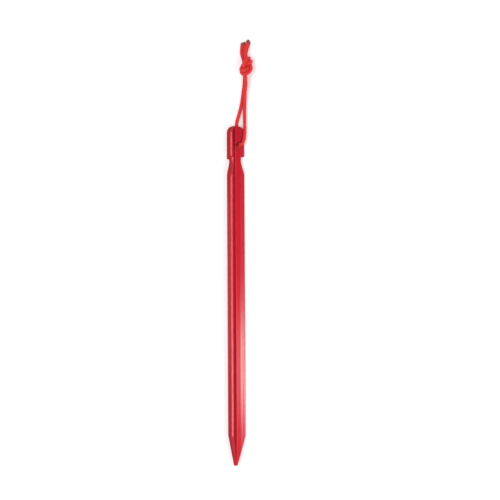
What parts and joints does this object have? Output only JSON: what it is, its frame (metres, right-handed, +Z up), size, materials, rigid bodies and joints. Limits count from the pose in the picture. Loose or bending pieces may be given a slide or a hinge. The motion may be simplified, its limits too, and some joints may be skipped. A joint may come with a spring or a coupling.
{
  "type": "tent stake",
  "caption": "Three-bladed extruded tent stake with a domed head, a necked notch for a guy line, a tapered point and a knotted cord pull loop through the head.",
  "frame": {"origin": "on the ground under the middle of the stake, which lies flat on the long edges of its two lower blades", "axes": "+Y along the stake from its point to its head, +Z up, +X towards the blade that has the cord hole"},
  "size_m": [0.0163, 0.238, 0.0089],
  "materials": {
    "anodised_red": "satin red anodising over a drawn surface",
    "cord_red": "braided nylon cord",
    "melted_cord": "nylon melted hard and slightly glossy"
  },
  "bodies": {
    "root": {"stake": "anodised_red", "cord_upper_run": "cord_red", "cord_lower_run": "cord_red", "cord_knot": "cord_red", "cord_left_tail": "cord_red", "cord_right_tail": "cord_red", "sealed_tips": "melted_cord"}
  },
  "joints": []
}
